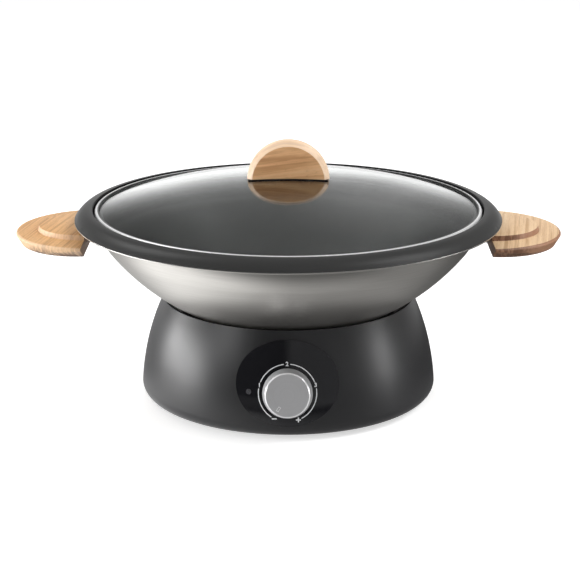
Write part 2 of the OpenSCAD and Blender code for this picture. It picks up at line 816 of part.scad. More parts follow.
module cord_gland() {
    color("#1a1b1c") difference() {
        at_inlet() {
            translate([0, 0, -gland_in]) cylinder(r = gland_r, h = gland_in + gland_out);
            translate([0, 0, -shell_wall - 2 * gland_flange_t])
                cylinder(r = gland_flange_r, h = shell_wall + 3 * gland_flange_t);
        }
        difference() {
            flank_sheet(shell_wall + seat_gap, -seat_gap);
            at_inlet() translate([0, 0, -far / 2]) cylinder(r = gland_r, h = far);
        }
        at_inlet() cylinder(r = gland_bore_r, h = 4 * gland_in, center = true);
    }
}

module terminal_block() {
    color("#e8e4d8") translate([block_at.x, block_at.y, plate_top]) difference() {
        translate([-block_size.x / 2, -block_size.y / 2, 0]) cube(block_size);
        for (x = block_poles) {
            translate([x, 0, block_size.z / 2]) rotate([90, 0, 0])
                cylinder(r = block_bore_r, h = 2 * block_size.y, center = true);
            translate([x, 0, block_size.z / 2]) cylinder(r = block_screw_r, h = block_size.z);
        }
    }
}

// Rounded wire through the given points
module lead(points) {
    for (i = [1 : len(points) - 1]) hull() {
        translate(points[i - 1]) sphere(lead_r, $fn = 8);
        translate(points[i]) sphere(lead_r, $fn = 8);
    }
}

module internal_leads() {
    block_z = plate_top + block_size.z / 2;
    front_y = block_at.y - block_size.y / 2;
    tab_z = leg_end_z - pin_h - blade_h - lead_r;
    tabs = [for (r = [ring_outer_r, ring_inner_r]) [r * cos(leg_a) + leg_bend_r * sin(leg_a),
                                                   r * sin(leg_a) - leg_bend_r * cos(leg_a), tab_z]];
    rear = -thermostat_back - thermostat_d - blade_h - lead_r;
    box_y = -wall_r(dial_z) - rear * cos(dial_a);
    box_z = dial_z + rear * sin(dial_a) - thermostat_h / 4;
    fuse_z = dish_z - fuse_r - seat_gap;
    fuse_end = fuse_l / 2 + blade_h + lead_r;
    color("#c8553d") {
        lead([[block_poles[0], front_y, block_z], [block_poles[0], front_y - lead_start, block_z],
              lead_side_rear, lead_side_front,
              [-thermostat_w / 4, box_y + lead_start, box_z], [-thermostat_w / 4, box_y, box_z]]);
        lead([[thermostat_w / 4, box_y, box_z], [thermostat_w / 4, box_y + lead_start, box_z],
              [fuse_at.x, fuse_at.y - fuse_end - lead_start, fuse_z - lead_dip],
              [fuse_at.x, fuse_at.y - fuse_end, fuse_z]]);
        lead([[fuse_at.x, fuse_at.y + fuse_end, fuse_z],
              [fuse_at.x, fuse_at.y + fuse_end + lead_start, fuse_z - lead_dip],
              [lead_cross.x, lead_cross.y, tab_z - lead_slack], tabs[1]]);
        lead([[block_poles[1], front_y, block_z], [block_poles[1], front_y - lead_start, block_z],
              [tabs[0].x + lead_slack, tabs[0].y, tab_z - lead_dip], tabs[0]]);
    }
}

// ---- Bowl ----

module bowl_outline() {
    translate([0, bowl_z]) square([floor_join_r, bowl_t]);
    difference() {
        intersection() {
            translate(bowl_c) circle(bowl_r);
            polygon([bowl_c, bowl_c + far * dir(shoulder_a), [far, bowl_z], [floor_join_r, bowl_z]]);
        }
        translate(bowl_c) circle(bowl_r - bowl_t);
    }
    translate(shoulder_c) arc_strip(shoulder_r, bowl_t, shoulder_a - blend_a, 0);
    translate([shoulder_c.x + shoulder_r - bowl_t, ledge_z - bowl_t])
        square([recess_r + bowl_t - shoulder_c.x - shoulder_r + bowl_t, bowl_t]);
    translate([recess_r, ledge_z - bowl_t]) square([bowl_t, rim_top_z - ridge_r - ledge_z + bowl_t]);
    translate([recess_r + ridge_r, rim_top_z - ridge_r]) pie(ridge_r + blend, 90 - nib_a, 180 + nib_a);
    translate(rim_c) arc_strip(rim_arc_r, bowl_t, rim_end_a, 90);
    translate(rim_c + (rim_arc_r - bowl_t / 2) * dir(rim_end_a)) circle(rim_bead_r);
}

module wok_bowl() {
    color("#b9babc") rotate_extrude() bowl_outline();
}

module spreader_disc() {
    color("#9fa0a2") translate([0, 0, bowl_z - disc_t]) {
        cylinder(r1 = disc_r - disc_edge, r2 = disc_r, h = disc_edge);
        translate([0, 0, disc_edge]) cylinder(r = disc_r, h = disc_t - disc_edge);
    }
}

// ---- Handles ----

module right_tongue(gap) {
    translate([shoulder_at_r - tongue_root, -tongue_w / 2 - gap, tongue_z - gap])
        cube([tongue_end_x - shoulder_at_r + tongue_root + gap, tongue_w + 2 * gap, bracket_t + 2 * gap]);
}

module right_bracket() {
    difference() {
        union() {
            right_tongue(0);
            rotate([0, 0, -bracket_half_a]) rotate_extrude(angle = 2 * bracket_half_a)
                translate(shoulder_c) arc_strip(shoulder_r + bracket_t, bracket_t, bracket_low_a, bracket_high_a);
        }
        rotate_extrude() translate(shoulder_c) circle(shoulder_r + seat_gap);
        at_handle_screws() cylinder(r = handle_screw_r + hole_gap, h = far);
    }
}

module at_handle_screws() {
    for (y = [-1, 1]) translate([handle_x + handle_screw_in, y * handle_screw_y, 0]) children();
}

// Lower plate: its side leans in below its upper edge, more at the front and rear than at the tip
module right_plate() {
    intersection() {
        translate([handle_c, 0, handle_z]) rotate_extrude() {
            polygon([[0, 0], [handle_r - handle_lean + handle_tip_in, 0], [handle_r, handle_side_h],
                     [0, handle_side_h]]);
            square([handle_r - handle_round, handle_t]);
            translate([handle_r - handle_round, handle_side_h]) pie(handle_round, 0, 90);
        }
        translate([handle_foot_c, 0, handle_z])
            cylinder(r1 = handle_foot_r, r2 = handle_foot_r + handle_flare * 2 * handle_t, h = 2 * handle_t);
    }
}

module right_handle() {
    difference() {
        union() {
            right_plate();
            translate([step_x, 0, handle_z + handle_t - eps])
                cylinder(r1 = step_r + step_slope, r2 = step_r, h = step_h + eps);
        }
        translate([handle_x - far, -far / 2, 0]) cube([far, far, far]);
        right_tongue(seat_gap);
        at_handle_screws() {
            cylinder(r = handle_head_r + hole_gap, h = handle_z + handle_head_h);
            cylinder(r = handle_screw_r + hole_gap, h = tongue_z + bracket_t + handle_screw_up);
        }
    }
}

module handle_right() {
    color("#d9ab74") right_handle();
}

module handle_left() {
    color("#d9ab74") mirror([1, 0, 0]) right_handle();
}

module bracket_right() {
    color("#a6a8ab") right_bracket();
}

module bracket_left() {
    color("#a6a8ab") mirror([1, 0, 0]) right_bracket();
}

module handle_screws() {
    up = tongue_z + bracket_t + handle_screw_up - handle_z - handle_head_h - hole_gap;
    color("#b9bbbe") for (s = [0, 1]) mirror([s, 0, 0]) at_handle_screws()
        translate([0, 0, handle_z]) screw(handle_head_r, handle_head_h, handle_screw_r, up);
}

// ---- Lid ----

module at_grip_screws() {
    for (x = [-1, 1]) translate([x * grip_screw_x, 0, 0]) children();
}

module lid_glass() {
    color("#3b3f42cc") difference() {
        intersection() {
            translate([0, 0, dome_c]) difference() {
                sphere(dome_r, $fn = sphere_fn);
                sphere(dome_r - glass_t, $fn = sphere_fn);
            }
            translate([0, 0, ledge_z - far / 4]) cylinder(r = glass_r, h = far);
        }
        at_grip_screws() cylinder(r = grip_screw_r + 4 * hole_gap, h = far);
    }
}

module band_outline() {
    translate([lid_r - band_t, band_foot_z]) square([band_t, band_top - band_round - band_foot_z]);
    translate([lid_r - band_round, band_top - band_round])
        arc_strip(band_round + blend, band_t + 2 * blend, -nib_a, 90 + nib_a);
    translate([lid_r - lip_w, band_top - band_t]) square([lip_w - band_round, band_t]);
    translate([lid_r - lip_w, dome_z(lid_r - lip_w, 0) + seat_gap])
        square([band_t, band_top - dome_z(lid_r - lip_w, 0) - seat_gap]);
    translate([0, dome_c])
        arc_strip(under_r, band_t, acos((lid_r - band_t / 2) / under_r), acos((lid_r - band_leg_w) / under_r));
}

module lid_band() {
    color("#c6c8ca") rotate_extrude() band_outline();
}

module lid_grip() {
    half = grip_t / 2;
    edge = grip_edge_w / 2;
    color("#cf9d69") difference() {
        translate([0, 0, grip_z]) rotate([90, 0, 0]) rotate_extrude()
            polygon([[0, -half], [grip_face_r, -half], [grip_r, -edge], [grip_r, edge],
                     [grip_face_r, half], [0, half]]);
        translate([0, 0, dome_c]) sphere(dome_r + pad_t + 2 * seat_gap, $fn = sphere_fn);
        at_grip_screws() cylinder(r = grip_screw_r + hole_gap, h = dome_top + pad_t + grip_screw_up);
    }
}

module grip_pad() {
    color("#2b2622") difference() {
        intersection() {
            translate([0, 0, dome_c]) difference() {
                sphere(dome_r + pad_t + seat_gap, $fn = sphere_fn);
                sphere(dome_r + seat_gap, $fn = sphere_fn);
            }
            translate([-grip_r + 1, -grip_foot_w / 2, grip_z])
                cube([2 * grip_r - 2, grip_foot_w, grip_r]);
        }
        at_grip_screws() cylinder(r = grip_screw_r + hole_gap, h = far);
    }
}

module grip_washers() {
    color("#8b8d90") at_grip_screws() translate([0, 0, washer_z]) ring(washer_r, grip_screw_r + hole_gap, washer_t);
}

module grip_screws() {
    low = washer_z - grip_head_h;
    up = dome_top + pad_t + grip_screw_up - low - grip_head_h - hole_gap;
    color("#b9bbbe") at_grip_screws() translate([0, 0, low]) screw(grip_head_r, grip_head_h, grip_screw_r, up);
}

base_shell();
base_plate();
rubber_feet();
base_screws();
fascia_panel();
indicator_lens();
indicator_lamp();
thermostat_body();
thermostat_nut();
sensor_bulb();
sensor_clip();
heating_element();
element_supports();
element_bushes();
element_terminals();
reflector_dish();
support_ring();
ring_screws();
support_pads();
terminal_block();
thermal_fuse();
fuse_clip();
cord_gland();
internal_leads();
control_knob();
knob_shaft();
wok_bowl();
spreader_disc();
handle_left();
handle_right();
bracket_left();
bracket_right();
handle_screws();
lid_glass();
lid_band();
lid_grip();
grip_pad();
grip_washers();
grip_screws();
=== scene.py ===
"""Finish, print and studio of a free-standing electric wok.

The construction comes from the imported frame. This script gives every piece its finish, rounds the
wooden pieces, prints the dial's scale and sets up the studio. Lengths are metres; MM turns
millimetres into them. The dial faces -Y and +Z is up.
"""

from math import asin, cos, pi, radians, sin

import bmesh
import bpy
from mathutils import Matrix, Vector
from mathutils.bvhtree import BVHTree


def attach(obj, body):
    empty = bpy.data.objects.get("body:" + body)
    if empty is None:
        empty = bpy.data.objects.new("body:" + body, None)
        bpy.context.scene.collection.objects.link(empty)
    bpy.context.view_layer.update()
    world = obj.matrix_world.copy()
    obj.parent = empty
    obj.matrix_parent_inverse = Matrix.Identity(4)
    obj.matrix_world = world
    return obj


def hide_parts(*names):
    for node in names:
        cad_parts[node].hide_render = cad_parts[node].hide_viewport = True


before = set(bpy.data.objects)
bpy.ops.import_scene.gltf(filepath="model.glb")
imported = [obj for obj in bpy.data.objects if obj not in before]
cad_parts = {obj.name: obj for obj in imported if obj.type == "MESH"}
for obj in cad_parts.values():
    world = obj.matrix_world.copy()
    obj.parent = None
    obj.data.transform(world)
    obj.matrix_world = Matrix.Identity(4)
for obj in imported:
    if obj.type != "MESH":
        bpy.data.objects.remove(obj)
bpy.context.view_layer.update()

MM = 0.001

# Camera: the photograph's place, aim and framing
CAMERA_AT = Vector((0.008, -1.4351, 0.5166))
CAMERA_AIM = Vector((0, 0, 0.08))
CAMERA_LENS = 108.1
CAMERA_SHIFT = (0.0028, 0.0196)

# Dial: its centre's height, the flank's arc in side view and the flank's radius at height 0
DIAL_Z = 40.5 * MM
FLANK_ARC_R = 205 * MM
BELLY_R = 126.8 * MM

# Scale round the knob: its radius and line, its first clock angle and its sweep in degrees, and the
# places of its signs and numerals as shares of the sweep
SCALE_R = 23.4 * MM
SCALE_LINE = 0.75 * MM
SCALE_START = 207
SCALE_SWEEP = 311
SCALE_PLACES = (0.0, 0.252, 0.489, 0.73, 1.0)

# Scale's arcs: degrees in one step, and the fewest steps. Its signs: length and line.
ARC_STEP = 4
ARC_LEAST_STEPS = 4
SIGN_L = 4.0 * MM
SIGN_LINE = 1.0 * MM

# Numerals: a digit's height, and its share of the font's size, how far its outline is thickened, and
# the degrees that the line stops short of it
NUMERAL_H = 3.3 * MM
DIGIT_IN_FONT = 0.7
NUMERAL_BOLD = 0.14 * MM
NUMERAL_GAP = 6.5

# Printing: its thickness, the gap under it and the height in the dial's frame that it is laid from
PRINT_T = 0.06 * MM
PRINT_LIFT = PRINT_T * 0.2
PRINT_FROM = 20 * MM

# Knob, in the dial's frame: its front, its face's radius and its chamfer, then the margins that tell
# its bright parts from the face, and how deep the bright line round the pointer goes. The chamfer's
# white is a painted highlight on the cut metal.
KNOB_FRONT = 13.6 * MM
KNOB_FACE_R = 17.2 * MM
KNOB_CHAMFER = 0.9 * MM
FACE_MARGIN = 0.1 * MM
CHAMFER_MARGIN = 0.35 * MM
POINTER_MARGIN = 0.2 * MM
POINTER_DEPTH = 0.6 * MM

# Lid: inside this radius its band is painted dark, a painted shade along the glass's edge
BAND_EDGE_R = 161.0 * MM
BAND_PAINTED_SHADE = (0.10, 0.10, 0.10, 1)

# Bowl: its coating covers what faces up or inward by more than this. Inside the mouth's radius it is
# painted a little lighter, a painted light, over a short fade.
COATED_UP = 0.16
COATED_INWARD = -0.2
MOUTH_R = 156 * MM
MOUTH_FADE = 3 * MM

# Wooden pieces: how far their edges are rounded and in how many steps. In degrees: past which angle
# an edge is rounded, past which a piece's edge is shaded sharp, and within which faces are merged.
GRIP_EDGE = 0.7 * MM
HANDLE_EDGE = 0.8 * MM
ROUNDING_STEPS = 3
ROUNDED_PAST = 25
SHARP_PAST = 35
FLAT_WITHIN = 0.4

# Handles: centre and radius of the lower plate's upper edge, its height and the slope below it
HANDLE_C = 162.5 * MM
HANDLE_R = 68.5 * MM
HANDLE_EDGE_Z = 143 * MM
HANDLE_SLOPE = 0.57

# Handles: heights between which the darkening of their cut ends changes
ENDS_LOW = HANDLE_EDGE_Z - 8 * MM
ENDS_HIGH = HANDLE_EDGE_Z + 1 * MM

# Beech: light, middle and dark tones of each piece, then the tones of its cut ends, of pale edges (paler
# side grain with a painted highlight) and of brown edges (painted shade), and the painted shade on the
# handles' inner faces
GRIP_TONES = ((1.0, 0.67, 0.40), (0.94, 0.55, 0.27), (0.66, 0.33, 0.14))
# The left handle's tones are painted darker as painted shade, the right's painted lighter as painted light,
# on the same beech
LEFT_SHADED_TONES = ((0.88, 0.52, 0.235), (0.72, 0.40, 0.165), (0.44, 0.21, 0.08))
RIGHT_LIT_TONES = ((0.86, 0.63, 0.395), (0.79, 0.54, 0.315), (0.56, 0.34, 0.17))
END_TONE = (0.12, 0.05, 0.02, 1)
PALE_GRAIN_AND_HIGHLIGHT = (0.96, 0.80, 0.62, 1)
BROWN_PAINTED_SHADE = (0.24, 0.085, 0.04, 1)
INNER_FACE_SHADE = (0.15, 0.065, 0.03, 1)

# Beech: marks per metre along the grain and in the two directions across it
SWAY_MARKS = (9, 30, 30)
BAND_MARKS = (8, 420, 160)
PORE_MARKS = (130, 2600, 2600)
FLECK_MARKS = (240, 1500, 900)

# Turned marks: per radian round the axis, and per metre across
MARKS_ROUND = 5.0
STEEL_MARKS = 2600.0
BOWL_MARKS = 2200.0
KNOB_MARKS = 2400

# Grain: its size, and the height of the relief it gives
PLASTIC_GRAIN = 0.35 * MM
METAL_GRAIN = 1.2 * MM
PLASTIC_RELIEF = 0.012 * MM
METAL_RELIEF = 0.01 * MM
TURNED_RELIEF = 0.004 * MM
CERAMIC_RELIEF = 0.02 * MM
BOWL_RELIEF = 0.005 * MM
KNOB_RELIEF = 0.003 * MM
WOOD_RELIEF = 0.03 * MM

# Steel: colours of its finishes
BRIGHT_STEEL = (0.70, 0.70, 0.70)
MID_STEEL = (0.56, 0.56, 0.56)
DULL_STEEL = (0.42, 0.42, 0.41)

# Surround that mirrors see behind the object: (height of the direction, level) at its left and at its
# right, and what both are multiplied by
SKY_LEFT = ((0.00, 0.98), (0.10, 0.98), (0.19, 0.66), (0.27, 0.44),
            (0.34, 0.33), (0.46, 0.22), (0.60, 0.20))
SKY_RIGHT = ((0.00, 0.80), (0.10, 0.72), (0.18, 0.50), (0.30, 0.42),
             (0.42, 0.40), (0.52, 0.34), (0.68, 0.24))
SKY_GAIN = 1.35

# Floor: its half width, its grey and its glow for the camera. Near the object mirrors see levels by
# place from left to right, multiplied by the gain.
FLOOR_HALF = 6
FLOOR_GREY = 0.80
FLOOR_GLOW = 0.6
FLOOR_ACROSS = ((0.30, 1.0), (0.38, 0.78), (0.50, 0.32), (0.70, 0.17))
FLOOR_GAIN = 1.3

# Lamps: name, place, size and power, all aimed at one point
SOFTBOXES = (
    ("left_softbox", (-1.5, 0.02, 0.13), (1.2, 0.38), 19),
    ("right_softbox", (1.7, -0.30, 0.26), (0.35, 0.6), 6),
    ("top_left_softbox", (-1.05, 0.60, 1.5), (0.8, 0.8), 10),
    ("top_right_softbox", (1.2, -0.1, 1.5), (0.9, 0.9), 19),
    ("front_softbox", (-1.6, -1.15, 0.9), (0.8, 0.8), 7),
)
LAMP_AIM = Vector((0, 0, 0.1))

WHITE = (1, 1, 1, 1)
# Painted shade for the bowl's recess walls
RECESS_SHADE_BLACK = (0.006, 0.006, 0.006, 1)


# ---- Shader maths ----

class Wire:
    """A shader socket. An expression on it adds the Math nodes that work it out."""

    def __init__(self, paint, socket):
        self.paint = paint
        self.socket = socket

    def maths(self, operation, *values):
        """One Math node on the values, in their order."""
        return self.paint.node("ShaderNodeMath", {"operation": operation}, values)

    def side(self, name):
        """Another output of the same node."""
        return Wire(self.paint, self.socket.node.outputs[name])

    def __add__(self, other):
        return self.maths("ADD", self, other)

    __radd__ = __add__

    def __mul__(self, other):
        return self.maths("MULTIPLY", self, other)

    __rmul__ = __mul__

    def __sub__(self, other):
        return self.maths("SUBTRACT", self, other)

    def __rsub__(self, other):
        return self.maths("SUBTRACT", other, self)

    def __gt__(self, other):
        return self.maths("GREATER_THAN", self, other)

    def __lt__(self, other):
        return self.maths("LESS_THAN", self, other)


class Paint:
    """The node tree of one material, or of the world."""

    def __init__(self, owner):
        owner.use_nodes = True
        self.owner = owner
        self.tree = owner.node_tree
        self.tree.nodes.clear()

    def node(self, kind, settings=None, values=()):
        """Adds a node: its settings first, then values or links by its sockets' places or names."""
        made = self.tree.nodes.new(kind)
        for name, setting in (settings or {}).items():
            if name == "stops":
                set_stops(made.color_ramp, setting)
            else:
                setattr(made, name, setting)
        sockets = [socket for socket in made.inputs if socket.enabled]
        names = [socket.name for socket in sockets]
        for key, value in values.items() if isinstance(values, dict) else enumerate(values):
            socket = sockets[names.index(key) if isinstance(key, str) else key]
            if isinstance(value, Wire):
                self.tree.links.new(value.socket, socket)
            else:
                socket.default_value = value
        return Wire(self, next((socket for socket in made.outputs if socket.enabled), None))

    def place(self):
        """Object coordinates, in metres."""
        return self.node("ShaderNodeTexCoord").side("Object")

    def mapped(self, vector, scale=(1, 1, 1), turn=(0, 0, 0), shift=(0, 0, 0)):
        return self.node("ShaderNodeMapping", None,
                         {"Vector": vector, "Scale": scale, "Rotation": turn, "Location": shift})

    def noise(self, vector, scale, detail=2.0, rough=0.5, distortion=0.0):
        return self.node("ShaderNodeTexNoise", None, {
            "Vector": vector, "Scale": scale, "Detail": detail,
            "Roughness": rough, "Distortion": distortion})

    def ramp(self, value, stops):
        """Colours by value: stops are (place, colour) pairs."""
        return self.node("ShaderNodeValToRGB", {"stops": stops}, [value])

    def levels(self, value, stops):
        """Greys by value: stops are (place, level) pairs."""
        return self.ramp(value, [(place, grey(level)) for place, level in stops])

    def spread(self, value, low, high, low_out, high_out):
        """value from the range low to high, moved to the range low_out to high_out and kept in it."""
        return self.node("ShaderNodeMapRange", None, [value, low, high, low_out, high_out])

    def blend(self, factor, a, b):
        return self.node("ShaderNodeMix", {"data_type": "RGBA"}, {"Factor": factor, "A": a, "B": b})

    def skin(self, values, relief=None, depth=0.0):
        """Ends a material in one Principled shader. relief is a height from 0 to 1, depth its size."""
        if relief is not None:
            values["Normal"] = self.node("ShaderNodeBump", None, {"Height": relief, "Distance": depth})
        shader = self.node("ShaderNodeBsdfPrincipled", None, values)
        self.node("ShaderNodeOutputMaterial", None, {"Surface": shader})
        return self.owner


def set_stops(ramp, stops):
    while len(ramp.elements) < len(stops):
        ramp.elements.new(0.5)
    for element, (place, colour) in zip(ramp.elements, stops):
        element.position = place
        element.color = colour if len(colour) == 4 else (*colour, 1)


def grey(level):
    return (level, level, level, 1)


def new_paint(name):
    return Paint(bpy.data.materials.new(name))


def from_axis(x, y):
    """Distance from the Z axis."""
    square = x * x + y * y
    return square.maths("SQRT", square)


# ---- Finishes ----

def dial_place():
    """Turn and place of the dial's frame, whose origin lies on the housing's flank."""
    lean = asin(DIAL_Z / FLANK_ARC_R)
    return (pi / 2 - lean, 0, 0), (0, -(BELLY_R - FLANK_ARC_R * (1 - cos(lean))), DIAL_Z)


def moulded_plastic(name, colour, shade, rough, gloss=0.5):
    """Moulded plastic or rubber with a fine spark-eroded grain and a faint cloudiness."""
    paint = new_paint(name)
    place = paint.place()
    cloud = paint.noise(place, scale=14, detail=3)
    grain = paint.noise(place, scale=1 / PLASTIC_GRAIN, detail=2, rough=0.6)
    return paint.skin({
        "Base Color": paint.blend(cloud, (*colour, 1), (*shade, 1)),
        "Roughness": paint.spread(grain + cloud * 0.5, 0.4, 1.1, rough - 0.04, rough + 0.05),
        "Specular IOR Level": gloss,
    }, grain, PLASTIC_RELIEF)


def gloss_panel(name):
    """Polished black panel with faint wiping marks."""
    paint = new_paint(name)
    place = paint.place()
    haze = paint.noise(paint.mapped(place, scale=(1, 1, 0.35), turn=(0, 0.6, 0)), scale=60, detail=3)
    return paint.skin({
        "Base Color": paint.blend(haze, (0.006, 0.006, 0.007, 1), (0.010, 0.010, 0.012, 1)),
        "Roughness": paint.spread(haze, 0.35, 0.7, 0.03, 0.07),
        "Specular IOR Level": 0.55,
    })


def turned_marks(paint, across):
    """Marks that run round the Z axis, fine in radius and height and long round it, and the radius."""
    flat = paint.node("ShaderNodeSeparateXYZ", None, [paint.place()])
    x, y, z = flat, flat.side("Y"), flat.side("Z")
    radius = from_axis(x, y)
    angle = x.maths("ARCTAN2", y, x)
    vector = paint.node("ShaderNodeCombineXYZ", None,
                        [radius * across, z * across, angle * MARKS_ROUND])
    return paint.noise(vector, scale=1, detail=4, rough=0.6), radius


def turned_steel(name, colour, shade, rough, metal=1.0, painted_shade_inside=0.0):
    """Stainless steel with fine marks that run round the Z axis, with painted shade inside a radius."""
    paint = new_paint(name)
    marks, radius = turned_marks(paint, STEEL_MARKS)
    cloud = paint.noise(paint.place(), scale=18, detail=3)
    steel = paint.blend(marks, (*colour, 1), (*shade, 1))
    return paint.skin({
        # Painted shade: inside the radius the steel is painted dark
        "Base Color": paint.blend(radius < painted_shade_inside, steel, BAND_PAINTED_SHADE),
        "Metallic": metal,
        "Roughness": paint.spread(marks + cloud * 0.6, 0.5, 1.1, rough - 0.05, rough + 0.06),
    }, marks, TURNED_RELIEF)


def plain_metal(name, colour, shade, rough):
    """Stamped or cast metal with light handling marks."""
    paint = new_paint(name)
    place = paint.place()
    spots = paint.noise(place, scale=1 / METAL_GRAIN, detail=3, rough=0.6)
    cloud = paint.noise(place, scale=90, detail=2)
    return paint.skin({
        "Base Color": paint.blend(spots * 0.6 + cloud * 0.4, (*colour, 1), (*shade, 1)),
        "Metallic": 1.0,
        "Roughness": paint.spread(spots, 0.3, 0.7, rough - 0.06, rough + 0.08),
    }, spots, METAL_RELIEF)


def fired_ceramic(name, colour, shade):
    """Unglazed ceramic or board with a powdery grain."""
    paint = new_paint(name)
    place = paint.place()
    grain = paint.noise(place, scale=2200, detail=3, rough=0.7)
    stain = paint.noise(place, scale=120, detail=3)
    return paint.skin({
        "Base Color": paint.blend(stain, (*colour, 1), (*shade, 1)),
        "Roughness": paint.spread(grain, 0.3, 0.7, 0.47, 0.65),
    }, grain, CERAMIC_RELIEF)


def bowl_finish():
    """Brushed stainless outside, dark non-stick coating inside and over the rim, painted lighter inside the
    mouth and painted black as shade on its inward walls outside it.
    """
    paint = new_paint("bowl_steel_and_coating")
    marks, radius = turned_marks(paint, BOWL_MARKS)
    place = paint.place()
    normal = paint.node("ShaderNodeNewGeometry").side("True Normal")
    up = paint.node("ShaderNodeSeparateXYZ", None, [normal]).side("Z")
    away = paint.node("ShaderNodeVectorMath", {"operation": "NORMALIZE"},
                      [paint.mapped(place, scale=(1, 1, 0))])
    outward = paint.node("ShaderNodeVectorMath", {"operation": "DOT_PRODUCT"},
                         [normal, away]).side("Value")
    coated = up.maths("MAXIMUM", up > COATED_UP, outward < COATED_INWARD)
    bare = 1.0 - coated
    speckle = paint.noise(place, scale=2600, detail=2, rough=0.6)
    cloud = paint.noise(place, scale=16, detail=3)
    steel = paint.blend(marks, (0.72, 0.70, 0.665, 1), (0.53, 0.515, 0.49, 1))
    # Painted light: the coating is painted lighter inside the mouth's radius
    inside = paint.spread(radius, MOUTH_R - MOUTH_FADE, MOUTH_R, 1.0, 0.0)
    # Painted shade: walls that face inward outside the mouth are painted black
    recess_painted_shade = paint.spread(outward, -0.5, -0.1, 1.0, 0.0) * (1.0 - inside)
    light_coating = paint.blend(inside, (0.050, 0.050, 0.049, 1), (0.082, 0.082, 0.081, 1))
    dark_coating = paint.blend(inside, (0.031, 0.031, 0.031, 1), (0.056, 0.056, 0.055, 1))
    coating = paint.blend(recess_painted_shade, paint.blend(speckle, dark_coating, light_coating), RECESS_SHADE_BLACK)
    steel_rough = paint.spread(marks + cloud * 0.6, 0.5, 1.1, 0.31, 0.42)
    coating_rough = paint.spread(speckle, 0.3, 0.7, 0.30, 0.38)
    return paint.skin({
        "Base Color": paint.blend(coated, steel, coating),
        "Metallic": bare,
        "Roughness": steel_rough * bare + coating_rough * coated,
        "Specular IOR Level": 0.10,
    }, marks * bare + speckle * coated, BOWL_RELIEF)


def knob_finish():
    """Satin silver with a cut chamfer round the face painted white as a painted highlight, and a bright line
    round the pointer.
    """
    paint = new_paint("knob_silver")
    turn, place = dial_place()
    dial = paint.node("ShaderNodeMapping", {"vector_type": "TEXTURE"},
                      {"Vector": paint.place(), "Location": place, "Rotation": turn})
    flat = paint.node("ShaderNodeSeparateXYZ", None, [dial])
    radius, height = from_axis(flat, flat.side("Y")), flat.side("Z")
    face_top = KNOB_FRONT - FACE_MARGIN
    chamfer_foot = KNOB_FRONT - KNOB_CHAMFER - CHAMFER_MARGIN
    # Painted highlight: the cut chamfer is painted near white
    chamfer = (radius > KNOB_FACE_R - FACE_MARGIN) * (height > chamfer_foot)
    below_face = (height < face_top) * (height > face_top - POINTER_DEPTH)
    pointer = below_face * (radius < KNOB_FACE_R - POINTER_MARGIN)
    bright = chamfer.maths("MAXIMUM", chamfer, pointer)
    across = paint.node("ShaderNodeCombineXYZ", None, [radius * KNOB_MARKS, height * KNOB_MARKS, 0.0])
    rings = paint.noise(across, scale=1, detail=3, rough=0.6)
    satin = paint.blend(rings, (0.58, 0.58, 0.59, 1), (0.52, 0.52, 0.53, 1))
    return paint.skin({
        "Base Color": paint.blend(bright, satin, (0.95, 0.95, 0.96, 1)),
        "Metallic": 0.45 - pointer * 0.45 - chamfer * 0.25,
        "Roughness": paint.spread(rings, 0.3, 0.7, 0.40, 0.46) - chamfer * 0.2,
    }, rings, KNOB_RELIEF)


def glass_finish():
    """Clear tempered glass with the faintest haze."""
    paint = new_paint("tempered_glass")
    haze = paint.noise(paint.place(), scale=25, detail=3)
    return paint.skin({
        "Base Color": paint.blend(haze, (0.90, 0.93, 0.92, 1), (0.94, 0.96, 0.95, 1)),
        "Roughness": paint.spread(haze, 0.4, 0.7, 0.0, 0.02),
        "Transmission Weight": 1.0,
        "IOR": 1.5,
    })


